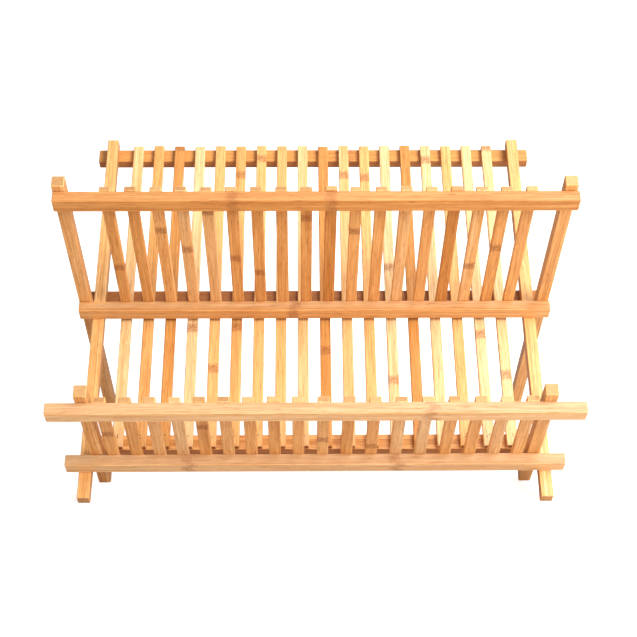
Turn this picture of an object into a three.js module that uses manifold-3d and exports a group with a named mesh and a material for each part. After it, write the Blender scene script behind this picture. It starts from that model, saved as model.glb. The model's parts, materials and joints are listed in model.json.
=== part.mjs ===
// A two-tier folding dish drying rack made of square bamboo sticks.
//
// Three ladder-like frames cross each other as two X shapes when seen from the side. The long back
// frame runs from the front feet up to the back. The upper frame crosses it half way up and makes
// the upper trough. The lower frame crosses it near its feet and makes the small front trough.
//
// Millimetres. +X is to the right, +Y to the back and +Z up. The origin is on the floor, at the
// centre of the rack's outline.
import * as THREE from 'three';
import { mergeVertices } from 'three/addons/utils/BufferGeometryUtils.js';
import Module from 'manifold-3d';

const wasm = await Module();
wasm.setup();

// Stick sections
const LEG = 11; // square section of the legs
const SLAT_WIDTH = 10;
const SLAT_THICKNESS = 5.3; // two slats fit within one leg's thickness when the rack is folded
const RAIL_WIDTH = 15; // along the legs
const RAIL_THICKNESS = 10.5;
const CHAMFER = 0.6; // on every long edge and end of a stick
const SEAT_GAP = 0.3; // glue line between a rail and the sticks it carries
const GRILLE_SINK = 0.3; // how deep the lower frame's slats sit in their rails

// Layers of legs, from the outside in: upper frame, back frame, lower frame
const LAYER_GAP = 0.4;
const UPPER_LEG_X = 214.8;
const BACK_LEG_X = UPPER_LEG_X - LEG - LAYER_GAP;
const LOWER_LEG_X = BACK_LEG_X - LEG - LAYER_GAP;

// Slats in a row
const SLAT_COUNT = 18;

// Rows of slats. Each row was laid by hand: the upper row stands a little to the right, and the
// lower row bows to the left in the middle.
const BACK_SLATS = { pitch: 20.9, shift: 0, bow: 0 };
const UPPER_SLATS = { pitch: 21.1, shift: 3, bow: 0 };
const LOWER_SLATS = { pitch: 20.9, shift: 0, bow: -4.5 };

// Lean of each frame above the floor, in degrees
const BACK_LEAN = 44.1;
const UPPER_LEAN = 45.9;
const LOWER_LEAN = 43.7;

// Legs, measured from the pivot each frame turns on
const BACK_ABOVE = 200;
const BACK_BELOW = 200;
const UPPER_ABOVE = 197.4;
const LOWER_ABOVE = 133.2;
const PIVOT_SPACING = 159; // from the upper pivot down the back legs to the lower pivot

// Centre lines of the rails along the legs, half lengths, and how far to the right each one sits
const BACK_TOP_RAIL = { at: 188.3, half: 219.3, shift: 0.8 };
const BACK_MIDDLE_RAIL = { at: 15.7, half: 219.0, shift: 0 };
const BACK_BOTTOM_RAIL = { at: -140.2, half: 208.8, shift: 0 };
const UPPER_TOP_RAIL = { at: 183.5, half: 220.9, shift: 1 };
const UPPER_STOP_RAIL = { half: 220.7, shift: 0.6 };
const LOWER_TOP_RAIL = { at: 115.8, half: 221.8, shift: 0 };
const LOWER_STOP_RAIL = { half: 219.5, shift: 0 };

// How far the back frame's slats stand past the top rail
const BACK_SLAT_TIP = 197;

// Pivot pins
const PIN_RADIUS = 2.5;
const PIN_HOLE_RADIUS = 2.55;
const PIN_HEAD_RADIUS = 5;
const PIN_HEAD_HEIGHT = 1.5;
const PIN_HEAD_GAP = 0.2;
const ROUND_SIDES = 48;

const HALF_LEG = LEG / 2;
const radians = THREE.MathUtils.degToRad;

const bamboo = (name, color) => new THREE.MeshStandardMaterial({ name, color, roughness: 0.5, metalness: 0 });
const LEG_BAMBOO = bamboo('bamboo_leg', 0xe7b777);
const RAIL_BAMBOO = bamboo('bamboo_rail', 0xe9b26c);
const SLAT_TONES = [0xf0cd95, 0xe2a868, 0xeebd7c, 0xd79a5e, 0xf3d6a4].map((tone) => bamboo('bamboo_slat', tone));
const STEEL = new THREE.MeshStandardMaterial({ name: 'steel_pin', color: 0xb9b9b6, roughness: 0.35, metalness: 1 });

// An outline, with or without holes, extruded along Z about the origin with its end edges chamfered.
function chamferedExtrusion(shape, length) {
  const geometry = new THREE.ExtrudeGeometry(shape, {
    depth: length - 2 * CHAMFER,
    bevelEnabled: true,
    bevelThickness: CHAMFER,
    bevelSize: CHAMFER,
    bevelOffset: -CHAMFER,
    bevelSegments: 1,
    curveSegments: ROUND_SIDES / 2,
  });
  geometry.translate(0, 0, CHAMFER - length / 2);
  return geometry;
}

// A rectangle with its corners taken off at 45 degrees.
function section([left, bottom], [right, top]) {
  const shape = new THREE.Shape();
  shape.moveTo(left + CHAMFER, bottom);
  shape.lineTo(right - CHAMFER, bottom);
  shape.lineTo(right, bottom + CHAMFER);
  shape.lineTo(right, top - CHAMFER);
  shape.lineTo(right - CHAMFER, top);
  shape.lineTo(left + CHAMFER, top);
  shape.lineTo(left, top - CHAMFER);
  shape.lineTo(left, bottom + CHAMFER);
  shape.closePath();
  return shape;
}

// In a frame's own axes, Z runs up along the legs, X is across the rack and the pivot is at the
// origin. `dish` is +1 where the dishes lie on the +Y side and -1 where they lie on the -Y side.

// A leg is cut square at both ends and drilled across for its pins.
function legGeometry(below, above, pinHeights) {
  const side = section([-HALF_LEG, -below], [HALF_LEG, above]);
  for (const height of pinHeights) {
    const hole = new THREE.Path();
    hole.absarc(0, height, PIN_HOLE_RADIUS, 0, 2 * Math.PI, true);
    side.holes.push(hole);
  }
  const geometry = chamferedExtrusion(side, LEG);
  // the outline was drawn in X and Y: turn it so that it lies in Y and Z, with the thickness along X
  geometry.applyMatrix4(new THREE.Matrix4().set(0, 0, 1, 0, 1, 0, 0, 0, 0, 1, 0, 0, 0, 0, 0, 1));
  return geometry;
}

// A rail lies across the legs on the side away from the dishes.
function railGeometry(dish, at, { half, shift }) {
  const inner = -dish * (HALF_LEG + SEAT_GAP);
  const outer = inner - dish * RAIL_THICKNESS;
  const low = Math.min(inner, outer);
  const outline = section([-RAIL_WIDTH / 2, low], [RAIL_WIDTH / 2, low + RAIL_THICKNESS]);
  const geometry = chamferedExtrusion(outline, 2 * half);
  // the outline's X becomes -Z and the extrusion's Z becomes X
  geometry.rotateY(Math.PI / 2);
  geometry.translate(shift, 0, at);
  return geometry;
}

// A slat lies between the legs, with its back level with the back of the legs.
function slatGeometry(dish, x, from, to, sink = 0) {
  const back = -dish * (HALF_LEG + sink);
  const face = -dish * (HALF_LEG - SLAT_THICKNESS);
  const outline = section(
    [x - SLAT_WIDTH / 2, Math.min(back, face)],
    [x + SLAT_WIDTH / 2, Math.max(back, face)],
  );
  const geometry = chamferedExtrusion(outline, to - from);
  geometry.translate(0, 0, (from + to) / 2);
  return geometry;
}

// Where the middle of a slat is across the rack.
function slatCentre(index, row) {
  const even = (index - (SLAT_COUNT - 1) / 2) * row.pitch;
  return even + row.shift + row.bow * Math.sin((Math.PI * index) / (SLAT_COUNT - 1)) ** 2;
}

// A round pin along X through two legs. Each end is either flush or carries a low head.
function pinGeometry(from, to, headAtFrom, headAtTo) {
  const start = headAtFrom ? from - PIN_HEAD_GAP : from;
  const end = headAtTo ? to + PIN_HEAD_GAP : to;
  const profile = [];
  if (headAtFrom) {
    profile.push([0, start - PIN_HEAD_HEIGHT], [PIN_HEAD_RADIUS * 0.72, start - PIN_HEAD_HEIGHT]);
    profile.push([PIN_HEAD_RADIUS, start - PIN_HEAD_HEIGHT * 0.45], [PIN_HEAD_RADIUS, start]);
  } else {
    profile.push([0, start]);
  }
  profile.push([PIN_RADIUS, start], [PIN_RADIUS, end]);
  if (headAtTo) {
    profile.push([PIN_HEAD_RADIUS, end], [PIN_HEAD_RADIUS, end + PIN_HEAD_HEIGHT * 0.45]);
    profile.push([PIN_HEAD_RADIUS * 0.72, end + PIN_HEAD_HEIGHT], [0, end + PIN_HEAD_HEIGHT]);
  } else {
    profile.push([0, end]);
  }
  const points = profile.map(([radius, along]) => new THREE.Vector2(radius, along));
  const geometry = new THREE.LatheGeometry(points, ROUND_SIDES);
  geometry.rotateZ(-Math.PI / 2); // lathe axis Y becomes X
  return geometry;
}

function toManifold(geometry) {
  const bare = geometry.clone();
  bare.deleteAttribute('normal');
  bare.deleteAttribute('uv');
  const merged = mergeVertices(bare);
  return new wasm.Manifold(new wasm.Mesh({
    numProp: 3,
    vertProperties: new Float32Array(merged.attributes.position.array),
    triVerts: new Uint32Array(merged.index.array),
  }));
}

function fromManifold(solid) {
  const mesh = solid.getMesh();
  const geometry = new THREE.BufferGeometry();
  geometry.setAttribute('position', new THREE.BufferAttribute(mesh.vertProperties, 3));
  geometry.setIndex(new THREE.BufferAttribute(mesh.triVerts, 1));
  geometry.computeVertexNormals();
  return geometry;
}

// The lower frame's slats are let into their two rails, so the grille is one glued piece.
function lowerGrilleGeometry(dish, railFrom) {
  const stopRail = railGeometry(dish, railFrom + RAIL_WIDTH / 2, LOWER_STOP_RAIL);
  const topRail = railGeometry(dish, LOWER_TOP_RAIL.at, LOWER_TOP_RAIL);
  let solid = toManifold(stopRail).add(toManifold(topRail));
  const sink = SEAT_GAP + GRILLE_SINK;
  const tip = LOWER_TOP_RAIL.at + RAIL_WIDTH / 2;
  for (let i = 0; i < SLAT_COUNT; i += 1) {
    solid = solid.add(toManifold(slatGeometry(dish, slatCentre(i, LOWER_SLATS), railFrom, tip, sink)));
  }
  return fromManifold(solid);
}

// Lower edge of a rail that comes to rest on the front of the back frame's legs.
function stopRailEdge(lean) {
  const crossing = radians(BACK_LEAN + lean);
  const inner = HALF_LEG + SEAT_GAP;
  const outer = inner + RAIL_THICKNESS;
  const lift = Math.max(inner * Math.cos(crossing), outer * Math.cos(crossing));
  return (HALF_LEG + SEAT_GAP + lift) / Math.sin(crossing);
}

// How far the lowest edge of a square-cut foot is below its frame's pivot.
function footDrop(below, lean) {
  const edge = (below - CHAMFER) * Math.sin(lean) + HALF_LEG * Math.cos(lean);
  const end = below * Math.sin(lean) + (HALF_LEG - CHAMFER) * Math.cos(lean);
  return Math.max(edge, end);
}

// Length of leg below the pivot that puts the foot on the floor.
function legBelow(drop, lean) {
  const trial = 100;
  return trial + (drop - footDrop(trial, lean)) / Math.sin(lean);
}

function addMesh(group, name, geometry, material) {
  const mesh = new THREE.Mesh(geometry, material);
  mesh.name = name;
  group.add(mesh);
}

function addSlats(group, name, dish, row, from, to) {
  for (let i = 0; i < SLAT_COUNT; i += 1) {
    const number = String(i + 1).padStart(2, '0');
    const material = SLAT_TONES[(i * 3 + name.length) % SLAT_TONES.length];
    addMesh(group, `${name}_${number}`, slatGeometry(dish, slatCentre(i, row), from, to), material);
  }
}

function addLegs(group, name, x, below, above, pinHeights) {
  for (const [side, sign] of [['left', -1], ['right', 1]]) {
    const geometry = legGeometry(below, above, pinHeights);
    geometry.translate(sign * x, 0, 0);
    addMesh(group, `${name}_${side}`, geometry, LEG_BAMBOO);
  }
}

function addPins(group, name, height, inside, outside, headOutside) {
  for (const side of ['left', 'right']) {
    const geometry = side === 'right'
      ? pinGeometry(inside, outside, true, headOutside)
      : pinGeometry(-outside, -inside, headOutside, true);
    geometry.translate(0, 0, height);
    addMesh(group, `${name}_${side}`, geometry, STEEL);
  }
}

const backLean = radians(BACK_LEAN);
const upperLean = radians(UPPER_LEAN);
const lowerLean = radians(LOWER_LEAN);
const upperPivotHeight = footDrop(BACK_BELOW, backLean);
const lowerPivotHeight = upperPivotHeight - PIVOT_SPACING * Math.sin(backLean);

// Back frame: dishes lean on its front, which is -Y in its own axes
function buildBackFrame() {
  const frame = new THREE.Group();
  frame.rotation.x = backLean - Math.PI / 2;
  frame.position.z = upperPivotHeight;
  const dish = -1;
  addLegs(frame, 'back_leg', BACK_LEG_X, BACK_BELOW, BACK_ABOVE, [0, -PIVOT_SPACING]);
  addMesh(frame, 'back_rail_top', railGeometry(dish, BACK_TOP_RAIL.at, BACK_TOP_RAIL), RAIL_BAMBOO);
  addMesh(frame, 'back_rail_middle', railGeometry(dish, BACK_MIDDLE_RAIL.at, BACK_MIDDLE_RAIL), RAIL_BAMBOO);
  addMesh(frame, 'back_rail_bottom', railGeometry(dish, BACK_BOTTOM_RAIL.at, BACK_BOTTOM_RAIL), RAIL_BAMBOO);
  const slatFoot = BACK_BOTTOM_RAIL.at - RAIL_WIDTH / 2;
  addSlats(frame, 'back_slat', dish, BACK_SLATS, slatFoot, BACK_SLAT_TIP);
  addPins(frame, 'upper_pin', 0, BACK_LEG_X - HALF_LEG, UPPER_LEG_X + HALF_LEG, true);
  addPins(frame, 'lower_pin', -PIVOT_SPACING, LOWER_LEG_X - HALF_LEG, BACK_LEG_X + HALF_LEG, false);
  return frame;
}

// Upper frame: dishes lean on its back, which is +Y in its own axes
function buildUpperFrame() {
  const frame = new THREE.Group();
  frame.rotation.x = Math.PI / 2 - upperLean;
  frame.position.z = upperPivotHeight;
  const dish = 1;
  const stopEdge = stopRailEdge(UPPER_LEAN);
  const below = legBelow(upperPivotHeight, upperLean);
  addLegs(frame, 'upper_leg', UPPER_LEG_X, below, UPPER_ABOVE, [0]);
  addMesh(frame, 'upper_rail_top', railGeometry(dish, UPPER_TOP_RAIL.at, UPPER_TOP_RAIL), RAIL_BAMBOO);
  const stopAt = stopEdge + RAIL_WIDTH / 2;
  addMesh(frame, 'upper_rail_stop', railGeometry(dish, stopAt, UPPER_STOP_RAIL), RAIL_BAMBOO);
  addSlats(frame, 'upper_slat', dish, UPPER_SLATS, stopEdge, UPPER_TOP_RAIL.at + RAIL_WIDTH / 2);
  return frame;
}

// Lower frame: dishes lean on its back, which is +Y in its own axes
function buildLowerFrame() {
  const frame = new THREE.Group();
  frame.rotation.x = Math.PI / 2 - lowerLean;
  frame.position.set(0, -PIVOT_SPACING * Math.cos(backLean), lowerPivotHeight);
  const dish = 1;
  const below = legBelow(lowerPivotHeight, lowerLean);
  addLegs(frame, 'lower_leg', LOWER_LEG_X, below, LOWER_ABOVE, [0]);
  addMesh(frame, 'lower_grille', lowerGrilleGeometry(dish, stopRailEdge(LOWER_LEAN)), SLAT_TONES[2]);
  return frame;
}

const rack = new THREE.Group();
rack.add(buildBackFrame(), buildUpperFrame(), buildLowerFrame());

// Bring the origin to the middle of the outline
rack.updateMatrixWorld(true);
const outline = new THREE.Box3().setFromObject(rack, true);
rack.position.y = -(outline.min.y + outline.max.y) / 2;

export default rack;
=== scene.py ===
"""Builds the looks of a folding two-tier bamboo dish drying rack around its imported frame.

Three ladders of square bamboo sticks cross each other as two X shapes. Each ladder has axes of its
own: X across the rack, Z up along the legs and Y through the thickness, with its pivot at the
origin. Sticks are modelled in those axes and then turned into place.
"""

import json
import math
import random

import bpy
from bpy.props import FloatProperty, FloatVectorProperty, IntProperty, PointerProperty
from mathutils import Matrix, Vector


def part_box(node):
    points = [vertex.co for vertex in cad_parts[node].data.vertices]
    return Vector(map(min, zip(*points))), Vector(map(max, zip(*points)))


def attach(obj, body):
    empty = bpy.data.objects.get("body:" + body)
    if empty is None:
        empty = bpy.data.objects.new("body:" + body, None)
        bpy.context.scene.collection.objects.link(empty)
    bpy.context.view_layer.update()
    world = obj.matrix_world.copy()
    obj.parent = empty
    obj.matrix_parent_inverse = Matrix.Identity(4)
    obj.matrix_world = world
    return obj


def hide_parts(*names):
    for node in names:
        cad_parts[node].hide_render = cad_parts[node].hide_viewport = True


bl_info = {
    "name": "Bamboo dish rack",
    "version": (1, 0, 0),
    "blender": (4, 5, 0),
    "location": "3D View > Sidebar > Dish rack",
    "description": "Models the sticks, pins and nails of a folding bamboo dish rack, and its studio",
    "category": "Object",
}

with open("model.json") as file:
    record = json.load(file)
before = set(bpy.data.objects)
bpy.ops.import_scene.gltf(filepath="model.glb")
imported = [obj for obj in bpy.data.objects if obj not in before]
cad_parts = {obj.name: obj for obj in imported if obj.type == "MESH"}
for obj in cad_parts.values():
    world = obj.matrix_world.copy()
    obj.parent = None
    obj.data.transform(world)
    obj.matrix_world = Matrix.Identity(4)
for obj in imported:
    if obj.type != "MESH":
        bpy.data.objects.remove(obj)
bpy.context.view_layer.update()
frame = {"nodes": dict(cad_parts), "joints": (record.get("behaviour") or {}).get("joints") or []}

PIVOTS = {joint["name"]: Vector(joint["pos_m"]) for joint in frame["joints"]}

# Timber of each slat from left to right, as a mixed batch of strips falls, and the heights of its
# knuckles along its ladder, in metres from the ladder's pivot
BACK_SLATS = (
    ("straw", ()), ("amber", ()), ("caramel", (0.195,)), ("pale", (-0.022,)),
    ("honey", (-0.066,)), ("amber", (-0.021, 0.159)), ("honey", (0.180,)), ("honey", ()),
    ("straw", ()), ("caramel", (-0.047,)), ("straw", (0.159,)), ("honey", (0.156,)),
    ("pale", (-0.079, 0.046)), ("caramel", ()), ("pale", (0.178,)), ("honey", ()),
    ("pale", (-0.030,)), ("pale", (-0.074, 0.194)),
)
UPPER_SLATS = (
    ("amber", (0.077,)), ("amber", ()), ("honey", (0.134,)), ("straw", (0.105,)),
    ("straw", (0.161,)), ("amber", (0.091,)), ("amber", (0.068,)), ("amber", ()),
    ("amber", (0.152,)), ("caramel", ()), ("honey", (0.132,)), ("honey", ()),
    ("straw", ()), ("honey", ()), ("caramel", (0.012,)), ("straw", (0.078,)),
    ("amber", (0.106,)), ("honey", ()),
)
LOWER_SLATS = (
    ("honey", (0.063,)), ("amber", ()), ("straw", ()), ("pale", ()), ("amber", (0.076,)),
    ("straw", ()), ("honey", ()), ("amber", ()), ("honey", ()), ("straw", (0.050,)),
    ("amber", ()), ("honey", (0.037,)), ("pale", ()), ("pale", ()), ("honey", ()),
    ("honey", ()), ("pale", ()), ("straw", ()),
)
TIMBER = {"pale": 0.13, "straw": 0.29, "honey": 0.46, "amber": 0.68, "caramel": 0.93}
SLAT_COUNT = len(BACK_SLATS)

# Which way a brad faces along its ladder's Y axis: 1 is towards the front of the rack
BACKWARD = -1

# How an edge is sanded, how long a drill is in metres, and the sharpest angle that is shaded round
EDGE_STEPS = 3
EDGE_FULLNESS = 0.38
DRILL_LENGTH = 0.03
ROUND_BELOW = math.radians(40)

# Outline of a pin's head, as shares of its depth and of its radius
HEAD_OUTLINE = ((0.0, 0.94), (0.12, 1.0), (0.30, 0.99), (0.62, 0.86), (0.86, 0.60), (1.0, 0.26))

# Glued strips in a stick, as width across and depth through it, in metres. A slat is one strip.
LEG_STRIP = (0.0037, 0.0055)
RAIL_STRIP = (0.0050, 0.00525)
UNDIVIDED = (1.0, 1.0)
WIDEST_STRIP = 0.5
GLUE_LINE = (0.00006, 0.00022)

# Grain across, through and along a stick, in noise cells per metre
FIBRE_DRIFT = (20.0, 20.0, 9.0)
BROAD_FIBRES = (420.0, 420.0, 9.0)
MIDDLING_FIBRES = (680.0, 680.0, 17.0)
FINE_FIBRES = (2300.0, 2300.0, 42.0)
VESSEL_DASHES = (1300.0, 1300.0, 85.0)
RIPPLE_CELLS = (260.0, 260.0, 60.0)
KNUCKLE_SPECKS = (980.0, 980.0, 760.0)
FIBRE_BUNDLES = (1450.0, 1450.0, 0.0)
END_PATCHES = (260.0, 260.0, 260.0)
SAW_MARKS = (60.0, 2600.0, 60.0)

# How far fibres wander, and the reach of a knuckle's marks from its middle, in metres
FIBRE_WANDER = 0.004
KNUCKLE_SLIP = 0.006
KNUCKLE_RIPPLE = 0.004
KNUCKLE_BAND = (0.0003, 0.0014)
KNUCKLE_ZONE = (0.0025, 0.0068)

# How much a strip's own side and the broad fibres move its tone
STRIP_SIDE_CONTRAST = 0.16
STREAK_CONTRAST = 0.75

# Spread of the seeds that give each stick and strip a pattern of its own
STRIP_SEEDS = 97.0
STICK_SEEDS = 50.0
FIBRE_SEEDS = 20.0

# Steel, in noise cells per metre along X, Y and Z, and depths of the finest relief in metres
DULL_SPOTS = (420.0, 420.0, 420.0)
TURNING_RINGS = (300.0, 5200.0, 5200.0)
GRAIN_RELIEF = 0.00012
SAWN_RELIEF = 0.00015
TURNED_RELIEF = 0.00005

# Studio lamps: where each stands, and the width and height of its panel, in metres
KEY_LAMP = ((1.05, -0.8, 1.8), (1.6, 1.6))
FRONT_LAMP = ((1.10, -1.55, 1.00), (1.0, 0.7))
BACK_LAMP = ((1.1, 1.9, 1.1), (1.4, 1.0))
LAMP_TARGET = Vector((0.0, 0.0, 0.13))
FLOOR_SIZE = 400.0
PAPER_GRAIN = (300.0, 300.0, 300.0)


class RackSizes(bpy.types.PropertyGroup):
    """Sizes of the sticks and fastenings that the frame doesn't give by itself."""

    back_lean: FloatProperty(
        name="Back lean", description="Angle of the back ladder above the floor",
        default=math.radians(44.1), subtype="ANGLE",
    )
    upper_lean: FloatProperty(
        name="Upper lean", description="Angle of the upper ladder above the floor",
        default=math.radians(45.9), subtype="ANGLE",
    )
    lower_lean: FloatProperty(
        name="Lower lean", description="Angle of the lower ladder above the floor",
        default=math.radians(43.7), subtype="ANGLE",
    )
    rail_width: FloatProperty(
        name="Rail width", description="Width of a rail along the legs",
        default=0.015, unit="LENGTH", precision=4,
    )
    slat_width: FloatProperty(
        name="Slat width", description="Width of a slat across the rack",
        default=0.010, unit="LENGTH", precision=4,
    )
    lower_slat_pitch: FloatProperty(
        name="Lower slat pitch", description="Spacing of the lower ladder's slats",
        default=0.0209, unit="LENGTH", precision=4,
    )
    lower_slat_bow: FloatProperty(
        name="Lower slat bow", description="How far left of even spacing the middle lower slats stand",
        default=0.0045, unit="LENGTH", precision=4,
    )
    stop_rail_shorter: FloatProperty(
        name="Stop rail shorter", description="How much shorter the lower stop rail is at each end",
        default=0.0023, unit="LENGTH", precision=4,
    )
    edge_round: FloatProperty(
        name="Edge rounding", description="Radius on the sanded edges of every stick",
        default=0.0008, unit="LENGTH", precision=4,
    )
    lower_slat_length: FloatProperty(
        name="Lower slat length", description="Length of the lower ladder's slats",
        default=0.1169, unit="LENGTH", precision=4,
    )
    pin_radius: FloatProperty(
        name="Pin radius", description="Radius of the pivot pins",
        default=0.0025, unit="LENGTH", precision=4,
    )
    pin_play: FloatProperty(
        name="Pin play", description="Clearance between a pin and its hole",
        default=0.00005, unit="LENGTH", precision=5,
    )
    pin_head_radius: FloatProperty(
        name="Pin head radius", description="Radius of a pin's domed head",
        default=0.005, unit="LENGTH", precision=4,
    )
    pin_head_depth: FloatProperty(
        name="Pin head depth", description="How far a pin's head stands out",
        default=0.0015, unit="LENGTH", precision=4,
    )
    tip_scatter: FloatProperty(
        name="Tip scatter", description="How unevenly the upper ends of the slats are sawn",
        default=0.0012, unit="LENGTH", precision=4,
    )
    foot_scatter: FloatProperty(
        name="Foot scatter", description="How far the back slats may end above their lowest rail's edge",
        default=0.0006, unit="LENGTH", precision=4,
    )
    nail_radius: FloatProperty(
        name="Nail radius", description="Radius of a nail head",
        default=0.0006, unit="LENGTH", precision=4,
    )
    nail_proud: FloatProperty(
        name="Nail proud", description="How far a nail head stands above the bamboo",
        default=0.00012, unit="LENGTH", precision=5,
    )
    seed: IntProperty(
        name="Seed", description="Changes the grain of every stick", default=7, min=0,
    )


class BambooColours(bpy.types.PropertyGroup):
    """Colours of the bamboo and the fastenings."""

    pale: FloatVectorProperty(
        name="Pale", description="Bamboo from the inside of the cane",
        default=(0.90, 0.615, 0.32), subtype="COLOR", min=0.0, max=1.0,
    )
    honey: FloatVectorProperty(
        name="Honey", description="Bamboo from the middle of the wall",
        default=(0.86, 0.462, 0.160), subtype="COLOR", min=0.0, max=1.0,
    )
    caramel: FloatVectorProperty(
        name="Caramel", description="Steamed bamboo from the outside of the cane",
        default=(0.62, 0.265, 0.058), subtype="COLOR", min=0.0, max=1.0,
    )
    knuckle: FloatVectorProperty(
        name="Knuckle", description="Fibres that turn at a knuckle of the cane",
        default=(0.27, 0.066, 0.011), subtype="COLOR", min=0.0, max=1.0,
    )
    pale_cut: FloatVectorProperty(
        name="Pale end", description="Sawn end of a pale strip",
        default=(0.68, 0.41, 0.17), subtype="COLOR", min=0.0, max=1.0,
    )
    brown_cut: FloatVectorProperty(
        name="Brown end", description="Sawn end of a steamed strip",
        default=(0.38, 0.170, 0.055), subtype="COLOR", min=0.0, max=1.0,
    )
    steel: FloatVectorProperty(
        name="Steel", description="Pins and nails",
        default=(0.55, 0.54, 0.52), subtype="COLOR", min=0.0, max=1.0,
    )


class StudioSettings(bpy.types.PropertyGroup):
    """Floor, lights and camera."""

    floor_colour: FloatVectorProperty(
        name="Floor", description="Colour of the studio floor",
        default=(0.93, 0.93, 0.93), subtype="COLOR", min=0.0, max=1.0,
    )
    floor_glow: FloatProperty(
        name="Floor glow", description="How much brighter the floor looks than it is lit", default=0.60,
    )
    floor_bounce: FloatVectorProperty(
        name="Floor bounce", description="Colour of the light that the floor gives back to the rack",
        default=(0.58, 0.49, 0.43), subtype="COLOR", min=0.0, max=1.0,
    )
    key_power: FloatProperty(
        name="Key light", description="Power of the large light above the rack, on the right",
        default=32.0, unit="POWER",
    )
    fill_power: FloatProperty(
        name="Front light", description="Power of the wide light in front of the rack, on the right",
        default=48.0, unit="POWER",
    )
    back_power: FloatProperty(
        name="Back light", description="Power of the light behind the rack, on the right",
        default=15.0, unit="POWER",
    )
    sky_strength: FloatProperty(
        name="Room light", description="Strength of the white room around the rack", default=0.49,
    )
    camera_distance: FloatProperty(
        name="Camera distance", description="From the camera to the upper pivot, along the view",
        default=1.3605, unit="LENGTH",
    )
    camera_tilt: FloatProperty(
        name="Camera tilt", description="How far the camera looks down",
        default=math.radians(13.89), subtype="ANGLE",
    )
    camera_turn: FloatProperty(
        name="Camera turn", description="How far the camera is turned to the right",
        default=math.radians(0.70), subtype="ANGLE",
    )
    camera_side: FloatProperty(
        name="Camera side", description="How far the view's middle is right of the upper pivot",
        default=0.00425, unit="LENGTH", precision=5,
    )
    camera_drop: FloatProperty(
        name="Camera drop", description="How far the view's middle is below the upper pivot",
        default=0.01053, unit="LENGTH", precision=5,
    )
    camera_lens: FloatProperty(
        name="Lens", description="Focal length in millimetres on a 36 mm sensor", default=80.75,
    )


class Ladder:
    """One of the three ladders: its body, its own axes and the side its dishes lie on."""

    def __init__(self, body, pivot, lean, dish):
        self.body = body
        self.dish = dish
        turn = (lean - math.pi / 2) if dish < 0 else (math.pi / 2 - lean)
        self.axes = Matrix.Translation(pivot) @ Matrix.Rotation(turn, 4, "X")

    def box(self, node):
        """Lowest and highest corners of a node, in the ladder's own axes."""
        back = self.axes.inverted()
        points = [back @ vertex.co for vertex in frame["nodes"][node].data.vertices]
        low = Vector(min(point[axis] for point in points) for axis in range(3))
        high = Vector(max(point[axis] for point in points) for axis in range(3))
        return low, high


def ladders():
    sizes = bpy.context.scene.rack_sizes
    return {
        "back": Ladder("back_frame", PIVOTS["upper_fold"], sizes.back_lean, -1),
        "upper": Ladder("upper_frame", PIVOTS["upper_fold"], sizes.upper_lean, 1),
        "lower": Ladder("lower_frame", PIVOTS["lower_fold"], sizes.lower_lean, 1),
    }


# Modelling


def only(obj):
    """Makes obj the one selected and active object."""
    bpy.ops.object.select_all(action="DESELECT")
    obj.select_set(True)
    bpy.context.view_layer.objects.active = obj


def rounded_block(name, low, high, radius):
    """A block between two corners with its edges sanded round."""
    bpy.ops.object.select_all(action="DESELECT")
    size = high - low
    bpy.ops.mesh.primitive_cube_add(size=1.0, location=(low + high) / 2, scale=size)
    block = bpy.context.object
    block.name = name
    block.data.name = name
    bpy.ops.object.transform_apply(location=True, rotation=True, scale=True)
    bevel = block.modifiers.new("sanded edges", "BEVEL")
    bevel.width = radius
    bevel.segments = EDGE_STEPS
    bevel.profile = EDGE_FULLNESS
    bpy.ops.object.modifier_apply(modifier=bevel.name)
    return block


def bore(stick, centre, radius):
    """Drills a hole along X through a stick."""
    bpy.ops.object.select_all(action="DESELECT")
    bpy.ops.mesh.primitive_cylinder_add(
        vertices=32, radius=radius, depth=DRILL_LENGTH, location=centre, rotation=(0, math.pi / 2, 0)
    )
    drill = bpy.context.object
    bpy.ops.object.transform_apply(location=True, rotation=True, scale=True)
    only(stick)
    cut = stick.modifiers.new("bore", "BOOLEAN")
    cut.operation = "DIFFERENCE"
    cut.object = drill
    cut.solver = "EXACT"
    bpy.ops.object.modifier_apply(modifier=cut.name)
    bpy.data.objects.remove(drill)


def lay_grain(stick, along, tone, knuckles, chance, dark_shaded_foot=False):
    """Stores where each point of a stick is in its own timber, for the bamboo materials.

    stick_place holds metres across the width, through the depth and along from the first knuckle.
    stick_chance holds the stick's tone, a random number and the way to the second knuckle in
    metres, where a stick without one has a way that leads past its end. Sawn ends take the second
    material, and a dark shaded foot the third: darker end grain that is partly the timber's own
    and partly painted shade.
    """
    beyond = 9.0
    first = knuckles[0] if knuckles else beyond
    spacing = knuckles[1] - first if len(knuckles) > 1 else beyond
    mesh = stick.data
    points = [vertex.co.copy() for vertex in mesh.vertices]
    middle = Vector((min(p[i] for p in points) + max(p[i] for p in points)) / 2 for i in range(3))
    place = mesh.attributes.new("stick_place", "FLOAT_VECTOR", "POINT")
    luck = mesh.attributes.new("stick_chance", "FLOAT_VECTOR", "POINT")
    dice = (tone, chance.random(), spacing)
    across = 2 if along == 0 else 0
    for index, point in enumerate(points):
        offset = point - middle
        place.data[index].vector = (offset[across], offset[1], point[along] - first)
        luck.data[index].vector = dice
    for polygon in mesh.polygons:
        polygon.material_index = 1 if abs(polygon.normal[along]) > 0.9 else 0
        # a back slat's downward end takes the third material: darker end grain, partly the timber's own and
        # partly painted shade for the shadow it faces down into
        if dark_shaded_foot and polygon.normal[along] < -0.9:
            polygon.material_index = 2


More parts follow.
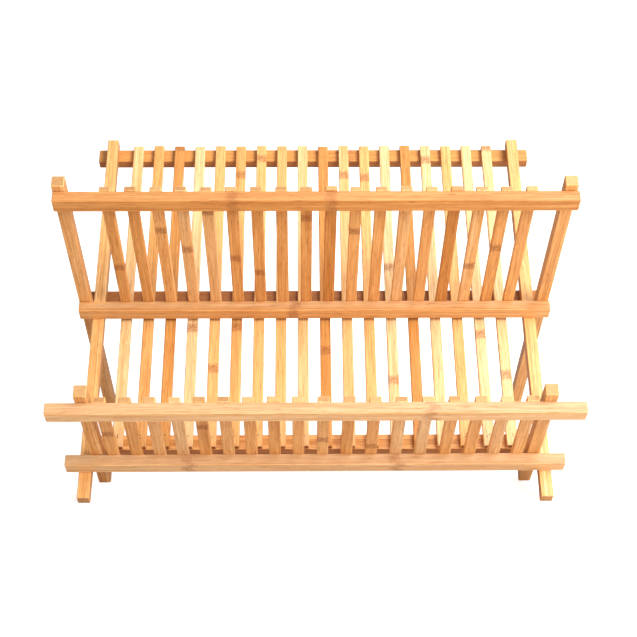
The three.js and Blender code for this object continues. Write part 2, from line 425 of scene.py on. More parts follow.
def place_stick(stick, ladder, slot, node, material):
    """Turns a finished stick from its ladder's own axes into the rack, and hands it to its body."""
    stick.data.materials.append(bpy.data.materials[material])
    stick.data.materials.append(bpy.data.materials["Bamboo end grain"])
    # the third material is the back slats' darker foot end grain, partly the timber's own and partly painted
    # shade
    if any(polygon.material_index == 2 for polygon in stick.data.polygons):
        stick.data.materials.append(bpy.data.materials["Stained end grain"])
    hand_over(stick, ladder, slot, node)


def hand_over(piece, ladder, slot, *nodes):
    """Smooths a piece's rounded edges, sets it in its place in the rack and names its body."""
    only(piece)
    bpy.ops.object.shade_smooth_by_angle(angle=ROUND_BELOW)
    even = piece.modifiers.new("flat faces stay flat", "WEIGHTED_NORMAL")
    even.keep_sharp = True
    bpy.ops.object.modifier_apply(modifier=even.name)
    piece.data.transform(ladder.axes)
    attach(piece, ladder.body)
    if nodes:
        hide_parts(*nodes)


def copy_of(stick, name):
    """A copy of a stick with a mesh of its own."""
    twin = stick.copy()
    twin.data = stick.data.copy()
    twin.name = name
    twin.data.name = name
    bpy.context.collection.objects.link(twin)
    return twin


# Materials


class Nodes:
    """Adds and links shader nodes in one tree."""

    def __init__(self, tree):
        self.tree = tree

    def feed(self, socket, value):
        """Links another node's output to a socket, or sets the socket to a constant."""
        if isinstance(value, bpy.types.NodeSocket):
            self.tree.links.new(value, socket)
        else:
            socket.default_value = value

    def add(self, kind, values=None, **settings):
        node = self.tree.nodes.new(kind)
        for name, value in settings.items():
            setattr(node, name, value)
        for socket, value in (values or {}).items():
            self.feed(node.inputs[socket], value)
        return node

    def math(self, operation, *values, clamp=False):
        node = self.add("ShaderNodeMath", dict(enumerate(values)), operation=operation, use_clamp=clamp)
        return node.outputs[0]

    def plus(self, first, second, clamp=False):
        return self.math("ADD", first, second, clamp=clamp)

    def minus(self, first, second):
        return self.math("SUBTRACT", first, second)

    def times(self, first, second):
        return self.math("MULTIPLY", first, second)

    def centred(self, value):
        """Moves a value between 0 and 1 to between -0.5 and 0.5."""
        return self.minus(value, 0.5)

    def ramp(self, value, low, high, to_low=0.0, to_high=1.0):
        """A smooth step of value from low to high."""
        node = self.add(
            "ShaderNodeMapRange",
            {0: value, 1: low, 2: high, 3: to_low, 4: to_high},
            interpolation_type="SMOOTHSTEP",
        )
        return node.outputs[0]

    def mix(self, factor, first, second, blend="MIX"):
        node = self.add("ShaderNodeMix", data_type="RGBA", blend_type=blend)
        for socket, value in ((0, factor), (6, first), (7, second)):
            self.feed(node.inputs[socket], value)
        return node.outputs[2]

    def attribute(self, name):
        return self.add("ShaderNodeAttribute", attribute_name=name).outputs["Vector"]

    def join(self, x, y, z):
        return self.add("ShaderNodeCombineXYZ", {0: x, 1: y, 2: z}).outputs[0]

    def split(self, vector):
        return self.add("ShaderNodeSeparateXYZ", {0: vector}).outputs

    def stretched(self, vector, scale):
        node = self.add("ShaderNodeVectorMath", {0: vector, 1: scale}, operation="MULTIPLY")
        return node.outputs[0]

    def noise(self, vector, scale, seed=None, detail=2.0, roughness=0.5):
        """Noise with scale cells per metre along each axis, where a seed gives another pattern."""
        values = {
            "Vector": self.stretched(vector, scale), "Scale": 1.0, "Detail": detail, "Roughness": roughness,
        }
        if seed is None:
            return self.add("ShaderNodeTexNoise", values).outputs[0]
        values["W"] = seed
        return self.add("ShaderNodeTexNoise", values, noise_dimensions="4D").outputs[0]

    def dots(self, vector, scale, inner, outer):
        """Spots, scale of them per metre, that fade from inner to outer in shares of their spacing."""
        values = {"Vector": self.stretched(vector, scale), "Scale": 1.0}
        cells = self.add("ShaderNodeTexVoronoi", values)
        return self.ramp(cells.outputs["Distance"], inner, outer, 1.0, 0.0)

    def warm(self, shade, red_power, blue_power):
        """A shade as a colour that turns redder as it darkens."""
        red = self.math("POWER", shade, red_power)
        blue = self.math("POWER", shade, blue_power)
        return self.add("ShaderNodeCombineColor", {0: red, 1: shade, 2: blue}).outputs[0]

    def bump(self, height, strength, depth):
        values = {"Height": height, "Strength": strength, "Distance": depth}
        return self.add("ShaderNodeBump", values).outputs[0]


def new_group(name, inputs, outputs):
    """An empty shader node group with named inputs and outputs."""
    tree = bpy.data.node_groups.new(name, "ShaderNodeTree")
    for label, kind, default in inputs:
        socket = tree.interface.new_socket(label, in_out="INPUT", socket_type=kind)
        socket.default_value = default
    for label, kind in outputs:
        tree.interface.new_socket(label, in_out="OUTPUT", socket_type=kind)
    nodes = Nodes(tree)
    start = nodes.add("NodeGroupInput")
    end = nodes.add("NodeGroupOutput")
    return nodes, start.outputs, end.inputs


def bamboo_group(colours):
    """Long fibres, glued strips and knuckles, read from the stick_place and stick_chance attributes."""
    nodes, given, result = new_group(
        "Bamboo timber",
        [
            ("Pale", "NodeSocketColor", (*colours.pale, 1)),
            ("Honey", "NodeSocketColor", (*colours.honey, 1)),
            ("Caramel", "NodeSocketColor", (*colours.caramel, 1)),
            ("Knuckle", "NodeSocketColor", (*colours.knuckle, 1)),
            ("Strip width", "NodeSocketFloat", 1.0),
            ("Strip depth", "NodeSocketFloat", 1.0),
            ("Strip contrast", "NodeSocketFloat", 0.5),
            ("Knuckle depth", "NodeSocketFloat", 1.0),
        ],
        [("Color", "NodeSocketColor"), ("Roughness", "NodeSocketFloat"), ("Height", "NodeSocketFloat")],
    )
    place = nodes.attribute("stick_place")
    width, depth, along = nodes.split(place)
    stick_tone, luck, spacing = nodes.split(nodes.attribute("stick_chance"))

    # which glued strip this is, three numbers drawn for it, and how far across and through it
    across = nodes.plus(nodes.math("DIVIDE", width, given["Strip width"]), 0.5)
    through = nodes.plus(nodes.math("DIVIDE", depth, given["Strip depth"]), 0.5)
    strip = nodes.join(
        nodes.math("FLOOR", across), nodes.math("FLOOR", through), nodes.times(luck, STRIP_SEEDS)
    )
    draw = nodes.add("ShaderNodeTexWhiteNoise", {"Vector": strip}, noise_dimensions="3D")
    drawn = nodes.add("ShaderNodeSeparateColor", {0: draw.outputs["Color"]})
    tone_draw, seed_draw, slip_draw = drawn.outputs
    across_strip = nodes.centred(nodes.math("FRACT", across))
    through_strip = nodes.centred(nodes.math("FRACT", through))
    laminated = nodes.math("LESS_THAN", given["Strip width"], WIDEST_STRIP)

    # fibres wander: the timber is looked up a little to one side as it runs along
    stick_seed = nodes.times(luck, STICK_SEEDS)
    drift = nodes.noise(place, FIBRE_DRIFT, stick_seed, detail=1.0)
    wander = nodes.times(nodes.centred(drift), FIBRE_WANDER)
    wandered = nodes.join(nodes.plus(width, wander), nodes.plus(depth, wander), along)
    seed = nodes.plus(stick_seed, nodes.times(seed_draw, FIBRE_SEEDS))
    broad = nodes.noise(wandered, BROAD_FIBRES, seed)
    middling = nodes.noise(wandered, MIDDLING_FIBRES, seed, detail=3.0, roughness=0.6)
    fine = nodes.noise(wandered, FINE_FIBRES, seed, detail=3.0, roughness=0.6)
    dashes = nodes.ramp(nodes.noise(wandered, VESSEL_DASHES, seed, detail=1.0), 0.57, 0.70)

    # tone: the stick's own, moved by the strip, and richer to one side of each strip
    strip_move = nodes.times(nodes.centred(tone_draw), given["Strip contrast"])
    side = nodes.times(across_strip, STRIP_SIDE_CONTRAST)
    streak = nodes.times(nodes.centred(broad), STREAK_CONTRAST)
    tone = nodes.plus(nodes.plus(stick_tone, strip_move), nodes.plus(side, streak), clamp=True)
    light = nodes.mix(nodes.ramp(tone, 0.0, 0.5), given["Pale"], given["Honey"])
    timber = nodes.mix(nodes.ramp(tone, 0.5, 1.0), light, given["Caramel"])

    # fine fibres and darker vessel dashes
    fine_shade = nodes.ramp(fine, 0.3, 0.7, 0.80, 1.12)
    middling_shade = nodes.ramp(middling, 0.35, 0.65, 0.74, 1.12)
    dash_shade = nodes.minus(1.0, nodes.times(dashes, 0.42))
    shade = nodes.times(nodes.times(fine_shade, middling_shade), dash_shade)
    timber = nodes.mix(1.0, timber, nodes.warm(shade, 0.6, 1.4), "MULTIPLY")

    # painted shade: a stick whose tone is above one is painted darker still. Only the back ladder's middle
    # rail has such a tone, standing in for the shadow of the rails and slats in front of it
    painted_shade = nodes.ramp(stick_tone, 1.0, 2.0, 1.0, 0.5)
    timber = nodes.mix(1.0, timber, nodes.warm(painted_shade, 0.7, 1.2), "MULTIPLY")

    # the one or two knuckles: a wavy band in a dotted zone, each glued strip's a little off
    slip = nodes.times(nodes.times(slip_draw, laminated), KNUCKLE_SLIP)
    turns = nodes.math("DIVIDE", nodes.plus(along, slip), spacing)
    nearest = nodes.minus(turns, nodes.math("ROUND", turns, clamp=True))
    ripple = nodes.centred(nodes.noise(place, RIPPLE_CELLS, stick_seed))
    distance = nodes.math(
        "ABSOLUTE", nodes.plus(nodes.times(nearest, spacing), nodes.times(ripple, KNUCKLE_RIPPLE))
    )
    band = nodes.ramp(distance, *KNUCKLE_BAND, 1.0, 0.0)
    zone = nodes.ramp(distance, *KNUCKLE_ZONE, 1.0, 0.0)
    specks = nodes.dots(place, KNUCKLE_SPECKS, 0.15, 0.60)
    dotted = nodes.times(zone, nodes.plus(nodes.times(specks, 0.62), 0.28))
    mark = nodes.math("MAXIMUM", nodes.times(band, 0.42), dotted)
    mark = nodes.times(mark, given["Knuckle depth"])
    timber = nodes.mix(mark, timber, given["Knuckle"])

    # glue line between strips
    to_side = nodes.times(nodes.minus(0.5, nodes.math("ABSOLUTE", across_strip)), given["Strip width"])
    to_face = nodes.times(nodes.minus(0.5, nodes.math("ABSOLUTE", through_strip)), given["Strip depth"])
    seam = nodes.ramp(nodes.math("MINIMUM", to_side, to_face), *GLUE_LINE, 1.0, 0.0)
    seam = nodes.times(seam, laminated)
    timber = nodes.mix(nodes.times(seam, 0.45), timber, given["Knuckle"])

    rough = nodes.plus(nodes.ramp(fine, 0.3, 0.7, 0.40, 0.52), nodes.times(mark, 0.12))
    height = nodes.minus(nodes.times(fine, 0.5), nodes.times(dashes, 0.3))
    height = nodes.minus(height, nodes.plus(nodes.times(mark, 0.5), seam))
    nodes.feed(result["Color"], timber)
    nodes.feed(result["Roughness"], rough)
    nodes.feed(result["Height"], height)
    return nodes.tree


def new_material(name):
    """The helper for a new material's nodes, and its Principled shader."""
    material = bpy.data.materials.new(name)
    material.use_nodes = True
    return Nodes(material.node_tree), material.node_tree.nodes["Principled BSDF"]


def bamboo_material(name, group, strip, contrast, knuckle_depth):
    """Lacquered bamboo, laid up from strips of the given width and depth."""
    nodes, shader = new_material(name)
    values = {
        "Strip width": strip[0], "Strip depth": strip[1], "Strip contrast": contrast,
        "Knuckle depth": knuckle_depth,
    }
    timber = nodes.add("ShaderNodeGroup", node_tree=group)
    for socket, value in values.items():
        nodes.feed(timber.inputs[socket], value)
    nodes.feed(shader.inputs["Base Color"], timber.outputs["Color"])
    nodes.feed(shader.inputs["Roughness"], timber.outputs["Roughness"])
    nodes.feed(shader.inputs["Normal"], nodes.bump(timber.outputs["Height"], 0.35, GRAIN_RELIEF))
    shader.inputs["Specular IOR Level"].default_value = 0.46
    shader.inputs["Coat Weight"].default_value = 0.08
    shader.inputs["Coat Roughness"].default_value = 0.3


def end_grain_material(name, colours, dark_shade_share):
    """Sawn bamboo ends with the dark dots of the cut fibre bundles, darkened towards the knuckle colour by a
    given share. At the back slats' feet that share is partly the timber's own darkness and partly painted
    shade.
    """
    nodes, shader = new_material(name)
    place = nodes.attribute("stick_place")
    stick_tone, luck = nodes.split(nodes.attribute("stick_chance"))[:2]
    bundles = nodes.dots(place, FIBRE_BUNDLES, 0.16, 0.40)
    patches = nodes.centred(nodes.noise(place, END_PATCHES))
    own = nodes.plus(nodes.times(stick_tone, 0.30), nodes.times(luck, 0.75))
    tone = nodes.plus(own, nodes.times(patches, 0.6), clamp=True)
    cut = nodes.mix(tone, (*colours.pale_cut, 1), (*colours.brown_cut, 1))
    # the share pulls the whole cut towards the knuckle colour: at the back slats' feet partly darker timber
    # and partly painted shade
    dark = nodes.plus(nodes.times(bundles, 0.5 * (1 - dark_shade_share)), dark_shade_share)
    sawn = nodes.mix(dark, cut, (*colours.knuckle, 1))
    height = nodes.minus(nodes.times(nodes.noise(place, SAW_MARKS), 0.4), bundles)
    nodes.feed(shader.inputs["Base Color"], sawn)
    nodes.feed(shader.inputs["Normal"], nodes.bump(height, 0.5, SAWN_RELIEF))
    shader.inputs["Roughness"].default_value = 0.72


def steel_material(name, colours, shade, low_gloss, high_gloss):
    """Turned steel with fine rings of polish and a few dull spots."""
    nodes, shader = new_material(name)
    where = nodes.add("ShaderNodeTexCoord").outputs["Object"]
    spots = nodes.noise(where, DULL_SPOTS, detail=4.0)
    rings = nodes.noise(where, TURNING_RINGS)
    dull = tuple(channel * shade * 0.72 for channel in colours.steel)
    bright = tuple(channel * shade for channel in colours.steel)
    colour = nodes.mix(nodes.ramp(spots, 0.35, 0.6), (*dull, 1), (*bright, 1))
    wear = nodes.plus(nodes.times(spots, 0.6), nodes.times(rings, 0.4))
    nodes.feed(shader.inputs["Base Color"], colour)
    nodes.feed(shader.inputs["Roughness"], nodes.ramp(wear, 0.3, 0.7, low_gloss, high_gloss))
    nodes.feed(shader.inputs["Normal"], nodes.bump(rings, 0.2, TURNED_RELIEF))
    shader.inputs["Metallic"].default_value = 1.0


class RACK_OT_materials(bpy.types.Operator):
    """Mix the bamboo, sawn end and steel finishes that the pieces take"""

    bl_idname = "rack.materials"
    bl_label = "Materials"

    def execute(self, context):
        colours = context.scene.bamboo_colours
        group = bamboo_group(colours)
        bamboo_material("Bamboo leg", group, LEG_STRIP, 0.42, 0.6)
        bamboo_material("Bamboo rail", group, RAIL_STRIP, 0.42, 0.85)
        bamboo_material("Bamboo slat", group, UNDIVIDED, 0.0, 1.15)
        end_grain_material("Bamboo end grain", colours, 0.0)
        # the back slats' downward feet: end grain pulled three quarters or more towards the knuckle colour,
        # partly the timber's own darkness and partly painted shade
        end_grain_material("Stained end grain", colours, 0.75)
        steel_material("Pin steel", colours, 1.0, 0.22, 0.42)
        steel_material("Nail steel", colours, 0.10, 0.45, 0.65)
        return {"FINISHED"}


# Pieces


class RACK_OT_legs(bpy.types.Operator):
    """Model the six square legs, bored for their pivot pins"""

    bl_idname = "rack.legs"
    bl_label = "Legs"

    def execute(self, context):
        sizes = context.scene.rack_sizes
        chance = random.Random(sizes.seed)
        made = ladders()
        spacing = (made["back"].axes.inverted() @ PIVOTS["lower_fold"]).z
        holes = {"back": (0.0, spacing), "upper": (0.0,), "lower": (0.0,)}
        tones = {"back": 0.50, "upper": 0.52, "lower": 0.50}
        for name, ladder in made.items():
            for side in ("left", "right"):
                node = f"{name}_leg_{side}"
                low, high = ladder.box(node)
                stick = rounded_block(f"{node}_stick", low, high, sizes.edge_round)
                for height in holes[name]:
                    centre = Vector(((low.x + high.x) / 2, 0.0, height))
                    bore(stick, centre, sizes.pin_radius + sizes.pin_play)
                lay_grain(stick, 2, tones[name], (), chance)
                place_stick(stick, ladder, "bamboo_leg", node, "Bamboo leg")
        return {"FINISHED"}


class RACK_OT_rails(bpy.types.Operator):
    """Model the seven rails that tie the slats and legs together"""

    bl_idname = "rack.rails"
    bl_label = "Rails"

    def execute(self, context):
        sizes = context.scene.rack_sizes
        chance = random.Random(sizes.seed + 1)
        made = ladders()
        rails = [
            (name, node, *made[name].box(node), tone, knuckles)
            for name, node, tone, knuckles in (
                ("back", "back_rail_top", 0.86, (0.040,)),
                # the back middle rail's tone of 1.80 paints shade on it, for the shadow of the rails and
                # slats in front of it
                ("back", "back_rail_middle", 1.80, (0.110,)),
                ("back", "back_rail_bottom", 0.84, (-0.082, 0.023)),
                ("upper", "upper_rail_top", 0.74, (-0.066, 0.017)),
                ("upper", "upper_rail_stop", 0.54, (-0.017,)),
            )
        ]
        low, high, seat = lower_grille()
        width = Vector((0.0, 0.0, sizes.rail_width))
        shorter = Vector((sizes.stop_rail_shorter, 0.0, 0.0))
        top = (Vector((low.x, low.y, high.z)) - width, Vector((high.x, seat, high.z)))
        stop = (low + shorter, Vector((high.x, seat, low.z)) + width - shorter)
        rails.append(("lower", "lower_rail_top", *top, 0.08, (0.097,)))
        rails.append(("lower", "lower_rail_stop", *stop, 0.10, (-0.108, 0.075)))
        for name, piece, low, high, tone, knuckles in rails:
            stick = rounded_block(f"{piece}_stick", low, high, sizes.edge_round)
            lay_grain(stick, 0, tone, knuckles, chance)
            node = "lower_grille" if name == "lower" else piece
            place_stick(stick, made[name], "bamboo_rail", node, "Bamboo rail")
        return {"FINISHED"}


def lower_grille():
    """Corners of the lower ladder's slats and rails, and the face where its slats lie on its rails."""
    made = ladders()
    low, high = made["lower"].box("lower_grille")
    seat = made["upper"].box("upper_rail_top")[1].y
    return low, high, seat


def lay_slats(name, middles, low, high, timbers, seed_step):
    """Models one slat, and copies it along its ladder, each copy in timber of its own."""
    sizes = bpy.context.scene.rack_sizes
    chance = random.Random(sizes.seed + seed_step)
    ladder = ladders()[name]
    half = sizes.slat_width / 2
    low = Vector((-half, low.y, low.z))
    high = Vector((half, high.y, high.z))
    pattern = rounded_block(f"{name}_slat", low, high, sizes.edge_round)
    for index, (middle, (wood, knuckles)) in enumerate(zip(middles, timbers), start=1):
        stick = copy_of(pattern, f"{name}_slat_{index:02d}_stick")
        saw_off(stick, 1, chance.uniform(0.0, sizes.tip_scatter))
        if name == "back":
            saw_off(stick, -1, chance.uniform(0.5, 1.0) * sizes.foot_scatter)
        stick.data.transform(Matrix.Translation((middle, 0.0, 0.0)))
        tone = TIMBER[wood] + chance.uniform(-0.05, 0.05)
        # a back slat's downward foot takes the darker end grain, partly the timber's own and partly painted
        # shade
        lay_grain(stick, 2, tone, knuckles, chance, dark_shaded_foot=name == "back")
        node = "lower_grille" if name == "lower" else f"{name}_slat_{index:02d}"
        place_stick(stick, ladder, "bamboo_slat", node, "Bamboo slat")
    bpy.data.objects.remove(pattern)


def saw_off(stick, end, amount):
    """Takes a little off a slat's upper end (1) or lower end (-1), as a row never quite lines up."""
    tip = max(vertex.co.z * end for vertex in stick.data.vertices)
    for vertex in stick.data.vertices:
        if vertex.co.z * end > tip - 2 * bpy.context.scene.rack_sizes.edge_round:
            vertex.co.z -= amount * end


def row_middles(name):
    """Where the middle of each slat of a row is across the rack."""
    if name == "lower":
        sizes = bpy.context.scene.rack_sizes
        last = SLAT_COUNT - 1
        return [
            (index - last / 2) * sizes.lower_slat_pitch
            - sizes.lower_slat_bow * math.sin(math.pi * index / last) ** 2
            for index in range(last + 1)
        ]
    boxes = [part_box(f"{name}_slat_{index:02d}") for index in range(1, SLAT_COUNT + 1)]
    return [(low.x + high.x) / 2 for low, high in boxes]


class RACK_OT_back_slats(bpy.types.Operator):
    """Model the eighteen long slats of the back ladder"""

    bl_idname = "rack.back_slats"
    bl_label = "Back slats"

    def execute(self, context):
        low, high = ladders()["back"].box("back_slat_01")
        lay_slats("back", row_middles("back"), low, high, BACK_SLATS, 2)
        return {"FINISHED"}


class RACK_OT_upper_slats(bpy.types.Operator):
    """Model the eighteen slats of the upper ladder"""

    bl_idname = "rack.upper_slats"
    bl_label = "Upper slats"

    def execute(self, context):
        low, high = ladders()["upper"].box("upper_slat_01")
        lay_slats("upper", row_middles("upper"), low, high, UPPER_SLATS, 3)
        return {"FINISHED"}


class RACK_OT_lower_slats(bpy.types.Operator):
    """Model the eighteen short slats of the lower ladder"""

    bl_idname = "rack.lower_slats"
    bl_label = "Lower slats"

    def execute(self, context):
        sizes = context.scene.rack_sizes
        low, high, seat = lower_grille()
        foot = Vector((0.0, seat, low.z))
        face = Vector((0.0, high.y, low.z + sizes.lower_slat_length))
        lay_slats("lower", row_middles("lower"), foot, face, LOWER_SLATS, 4)
        return {"FINISHED"}


class RACK_OT_pins(bpy.types.Operator):
    """Model the four pivot pins with their domed heads"""

    bl_idname = "rack.pins"
    bl_label = "Pivot pins"

    def execute(self, context):
        made = ladders()
        for tier in ("upper", "lower"):
            for side in ("left", "right"):
                inner = 1 if side == "left" else -1
                self.pin(made["back"], f"{tier}_pin_{side}", tier == "upper", inner)
        return {"FINISHED"}

    def pin(self, ladder, node, both_heads, inner):
        """A rivet along X. It always has a head on its inner end, and maybe one on its outer end."""
        sizes = bpy.context.scene.rack_sizes
        low, high = ladder.box(node)
        centre = (low + high) / 2
        length = high.x - low.x
        inner_head = outer_head = sizes.pin_head_depth
        if not both_heads:
            outer_head = 0.0
        bpy.ops.object.select_all(action="DESELECT")
        shank = length - inner_head - outer_head
        shank_middle = centre.x + inner * (outer_head - inner_head) / 2
        bpy.ops.mesh.primitive_cylinder_add(
            vertices=40, radius=sizes.pin_radius, depth=shank,
            location=(shank_middle, centre.y, centre.z), rotation=(0, math.pi / 2, 0),
        )
        rivet = bpy.context.object
        rivet.name = f"{node}_rivet"
        rivet.data.name = rivet.name
        bpy.ops.object.transform_apply(location=True, rotation=True, scale=True)
        self.head(rivet, inner)
        if both_heads:
            self.head(rivet, -inner)
        rivet.data.materials.append(bpy.data.materials["Pin steel"])
        hand_over(rivet, ladder, "steel_pin", node)

    def head(self, rivet, side):
        """Upsets one end of a pin into a domed head."""
        sizes = bpy.context.scene.rack_sizes
        only(rivet)
        select_end(rivet, side)
        points = [vertex.co for vertex in rivet.data.vertices]
        end = max(point.x * side for point in points) * side
        count = len(points)
        middle = (end, sum(point.y for point in points) / count, sum(point.z for point in points) / count)
        bpy.ops.object.mode_set(mode="EDIT")
        depth = 0.0
        radius = sizes.pin_radius
        for depth_share, radius_share in HEAD_OUTLINE:
            step = (depth_share - depth) * sizes.pin_head_depth * side
            bpy.ops.mesh.extrude_region_move(TRANSFORM_OT_translate={"value": (step, 0, 0)})
            wanted = sizes.pin_head_radius * radius_share
            growth = wanted / radius
            bpy.ops.transform.resize(value=(1, growth, growth), center_override=middle)
            depth, radius = depth_share, wanted
        bpy.ops.object.mode_set(mode="OBJECT")


def select_end(piece, side):
    """Selects the faces at one end of a piece along X."""
    far = max(face.center.x * side for face in piece.data.polygons)
    bpy.ops.object.mode_set(mode="EDIT")
    bpy.ops.mesh.select_mode(type="FACE")
    bpy.ops.mesh.select_all(action="DESELECT")
    bpy.ops.object.mode_set(mode="OBJECT")
    for face in piece.data.polygons:
        face.select = face.center.x * side > far - 1e-6


class RACK_OT_nails(bpy.types.Operator):
    """Model the small brads that hold the slats and rails, one piece for each ladder"""

    bl_idname = "rack.nails"
    bl_label = "Nails"

    def execute(self, context):
        sizes = context.scene.rack_sizes
        chance = random.Random(sizes.seed + 5)
        made = ladders()
        pattern = self.nail(sizes)
        for name, spots in self.spots(made, chance).items():
            heads = []
            for x, y, z, facing in spots:
                head = copy_of(pattern, f"{name}_nail")
                turn = Matrix.Rotation(math.pi / 2 * facing, 4, "X")
                head.data.transform(Matrix.Translation((x, y, z)) @ turn)
                heads.append(head)
            only(heads[0])
            for head in heads:
                head.select_set(True)
            bpy.ops.object.join()
            nails = bpy.context.object
            nails.name = f"{name}_nails"
            nails.data.name = nails.name
            nails.data.materials.append(bpy.data.materials["Nail steel"])
            hand_over(nails, made[name], "steel_pin")
        bpy.data.objects.remove(pattern)
        return {"FINISHED"}

    def nail(self, sizes):
        """A brad's head: a low disc whose rim is rounded over, sunk level with the bamboo."""
        bpy.ops.object.select_all(action="DESELECT")
        sunk = sizes.nail_radius
        bpy.ops.mesh.primitive_cylinder_add(
            vertices=10, radius=sizes.nail_radius, depth=sunk, location=(0, 0, -sunk / 2 + sizes.nail_proud)
        )
        head = bpy.context.object
        bpy.ops.object.transform_apply(location=True, rotation=True, scale=True)
        rim = head.modifiers.new("rim", "BEVEL")
        rim.width = sizes.nail_proud
        rim.segments = 1
        bpy.ops.object.modifier_apply(modifier=rim.name)
        return head

    def spots(self, made, chance):
        """Where the brads of each ladder go: in its own axes, and which way each one faces.

        The upper two rows of the back ladder are nailed from behind, through the rail. All other
        slats are nailed from their dish side, the back ladder's feet with two brads each.
        """
        wander = 0.0012
        pair_step = 0.0022
        high_on_rail = 0.0040
        rows = (
            ("back", "back_rail_top", "behind", (0.0,)),
            ("back", "back_rail_middle", "behind", (0.0,)),
            ("back", "back_rail_bottom", "dish side", (high_on_rail, high_on_rail - pair_step)),
            ("upper", "upper_rail_top", "dish side", (0.0,)),
            ("upper", "upper_rail_stop", "dish side", (0.0,)),
        )
        spots = {"back": [], "upper": [], "lower": []}

        def scatter(name, x, y, z, facing):
            spots[name].append((x + chance.uniform(-wander, wander), y,
                                z + chance.uniform(-wander, wander) / 2, facing))

        for name, rail, side, lifts in rows:
            ladder = made[name]
            rail_low, rail_high = ladder.box(rail)
            slat_low, slat_high = ladder.box(f"{name}_slat_01")
            leg_low, leg_high = ladder.box(f"{name}_leg_left")
            behind = rail_high.y if ladder.dish < 0 else rail_low.y
            slat_face = slat_low.y if ladder.dish < 0 else slat_high.y
            height = (rail_low.z + rail_high.z) / 2
            for middle in row_middles(name):
                for lift in lifts:
                    if side == "behind":
                        scatter(name, middle, behind, height + lift, ladder.dish)
                    else:
                        scatter(name, middle, slat_face, height + lift, -ladder.dish)
            # the legs are nailed from whichever side faces the back of the rack
            leg_face = behind if ladder.dish < 0 else leg_high.y
            for leg in (-1, 1):
                scatter(name, leg * (leg_low.x + leg_high.x) / 2, leg_face, height, BACKWARD)
        low, high = lower_grille()[:2]
        half_rail = bpy.context.scene.rack_sizes.rail_width / 2
        for height in (low.z + half_rail, high.z - half_rail):
            for middle in row_middles("lower"):
                scatter("lower", middle, high.y, height, BACKWARD)
        return spots


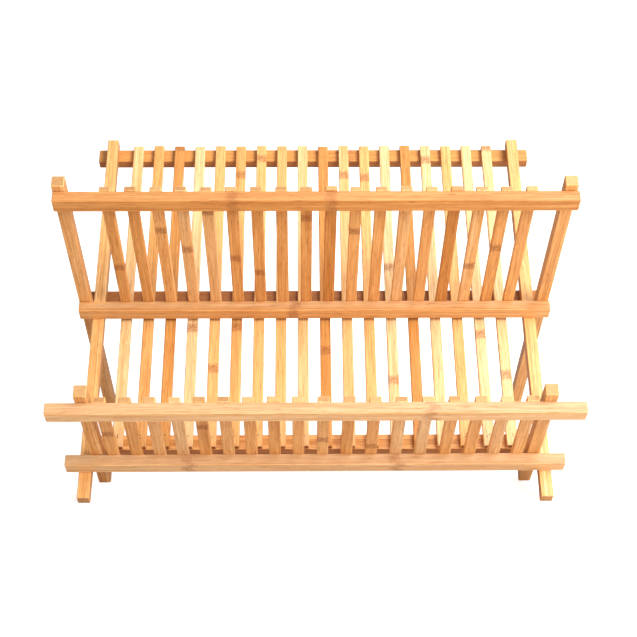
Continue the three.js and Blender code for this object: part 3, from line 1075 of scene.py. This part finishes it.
class RACK_OT_stage(bpy.types.Operator):
    """Set out the studio: white floor, soft lights and the camera"""

    bl_idname = "rack.stage"
    bl_label = "Studio"

    def execute(self, context):
        studio = context.scene.rack_studio
        self.floor(studio)
        self.light("Key", studio.key_power, *KEY_LAMP)
        self.light("Front", studio.fill_power, *FRONT_LAMP)
        self.light("Back", studio.back_power, *BACK_LAMP)
        world = bpy.data.worlds.new("Room")
        world.use_nodes = True
        room = world.node_tree.nodes["Background"]
        room.inputs["Color"].default_value = (1.0, 1.0, 1.0, 1.0)
        nodes = Nodes(world.node_tree)
        seen = nodes.add("ShaderNodeLightPath").outputs["Is Camera Ray"]
        strength = nodes.ramp(seen, 0.0, 1.0, studio.sky_strength, 1.0)
        nodes.feed(room.inputs["Strength"], strength)
        context.scene.world = world
        context.scene.view_settings.view_transform = "Standard"
        self.camera(context, studio)
        return {"FINISHED"}

    def floor(self, studio):
        nodes, shader = new_material("Studio paper")
        where = nodes.add("ShaderNodeTexCoord").outputs["Object"]
        grain = nodes.noise(where, PAPER_GRAIN, detail=3.0)
        tint = tuple(channel * 0.985 for channel in studio.floor_colour)
        paper = nodes.mix(grain, (*tint, 1), (*studio.floor_colour, 1))
        seen = nodes.add("ShaderNodeLightPath").outputs["Is Camera Ray"]
        colour = nodes.mix(seen, (*studio.floor_bounce, 1), paper)
        nodes.feed(shader.inputs["Base Color"], colour)
        nodes.feed(shader.inputs["Emission Strength"], nodes.times(seen, studio.floor_glow))
        shader.inputs["Roughness"].default_value = 0.9
        shader.inputs["Specular IOR Level"].default_value = 0.1
        shader.inputs["Emission Color"].default_value = (1.0, 1.0, 1.0, 1.0)
        bpy.ops.object.select_all(action="DESELECT")
        bpy.ops.mesh.primitive_plane_add(size=FLOOR_SIZE, location=(0, 0, 0))
        floor = bpy.context.object
        floor.name = "studio_floor"
        floor.data.materials.append(bpy.data.materials["Studio paper"])

    def light(self, name, power, place, size):
        lamp = bpy.data.lights.new(name, "AREA")
        lamp.energy = power
        lamp.shape = "RECTANGLE"
        lamp.size, lamp.size_y = size
        holder = bpy.data.objects.new(name, lamp)
        bpy.context.collection.objects.link(holder)
        holder.location = place
        aim = LAMP_TARGET - holder.location
        holder.rotation_euler = aim.to_track_quat("-Z", "Y").to_euler()

    def camera(self, context, studio):
        """Looks down at the rack from the front, with the upper pivot near the middle of the view."""
        tilt, turn = studio.camera_tilt, studio.camera_turn
        forward = Vector((math.sin(turn) * math.cos(tilt), math.cos(turn) * math.cos(tilt), -math.sin(tilt)))
        right = Vector((math.cos(turn), -math.sin(turn), 0.0))
        up = right.cross(forward)
        lens = bpy.data.cameras.new("Camera")
        lens.lens = studio.camera_lens
        lens.sensor_width = 36.0
        camera = bpy.data.objects.new("Camera", lens)
        context.collection.objects.link(camera)
        middle = PIVOTS["upper_fold"] + right * studio.camera_side - up * studio.camera_drop
        axes = Matrix((right, up, -forward)).transposed()
        camera.matrix_world = Matrix.Translation(middle - forward * studio.camera_distance) @ axes.to_4x4()
        context.scene.camera = camera


class RACK_PT_panel(bpy.types.Panel):
    """Lists the steps that build the rack"""

    bl_label = "Dish rack"
    bl_idname = "RACK_PT_panel"
    bl_space_type = "VIEW_3D"
    bl_region_type = "UI"
    bl_category = "Dish rack"

    def draw(self, context):
        scene = context.scene
        for settings in (scene.rack_sizes, scene.bamboo_colours, scene.rack_studio):
            column = self.layout.column()
            for name in settings.bl_rna.properties.keys():
                if name not in ("rna_type", "name"):
                    column.prop(settings, name)
        for step in STEPS:
            self.layout.operator(step.bl_idname)


SETTINGS = (
    ("rack_sizes", RackSizes), ("bamboo_colours", BambooColours), ("rack_studio", StudioSettings),
)
STEPS = (
    RACK_OT_materials, RACK_OT_legs, RACK_OT_rails, RACK_OT_back_slats, RACK_OT_upper_slats,
    RACK_OT_lower_slats, RACK_OT_pins, RACK_OT_nails, RACK_OT_stage,
)


def register():
    for name, group in SETTINGS:
        bpy.utils.register_class(group)
        setattr(bpy.types.Scene, name, PointerProperty(type=group))
    for kind in (*STEPS, RACK_PT_panel):
        bpy.utils.register_class(kind)


def unregister():
    for kind in reversed((*STEPS, RACK_PT_panel)):
        bpy.utils.unregister_class(kind)
    for name, group in reversed(SETTINGS):
        delattr(bpy.types.Scene, name)
        bpy.utils.unregister_class(group)


def main():
    register()
    bpy.ops.rack.materials()
    bpy.ops.rack.legs()
    bpy.ops.rack.rails()
    bpy.ops.rack.back_slats()
    bpy.ops.rack.upper_slats()
    bpy.ops.rack.lower_slats()
    bpy.ops.rack.pins()
    bpy.ops.rack.nails()
    bpy.ops.rack.stage()


if __name__ == "__main__":
    main()
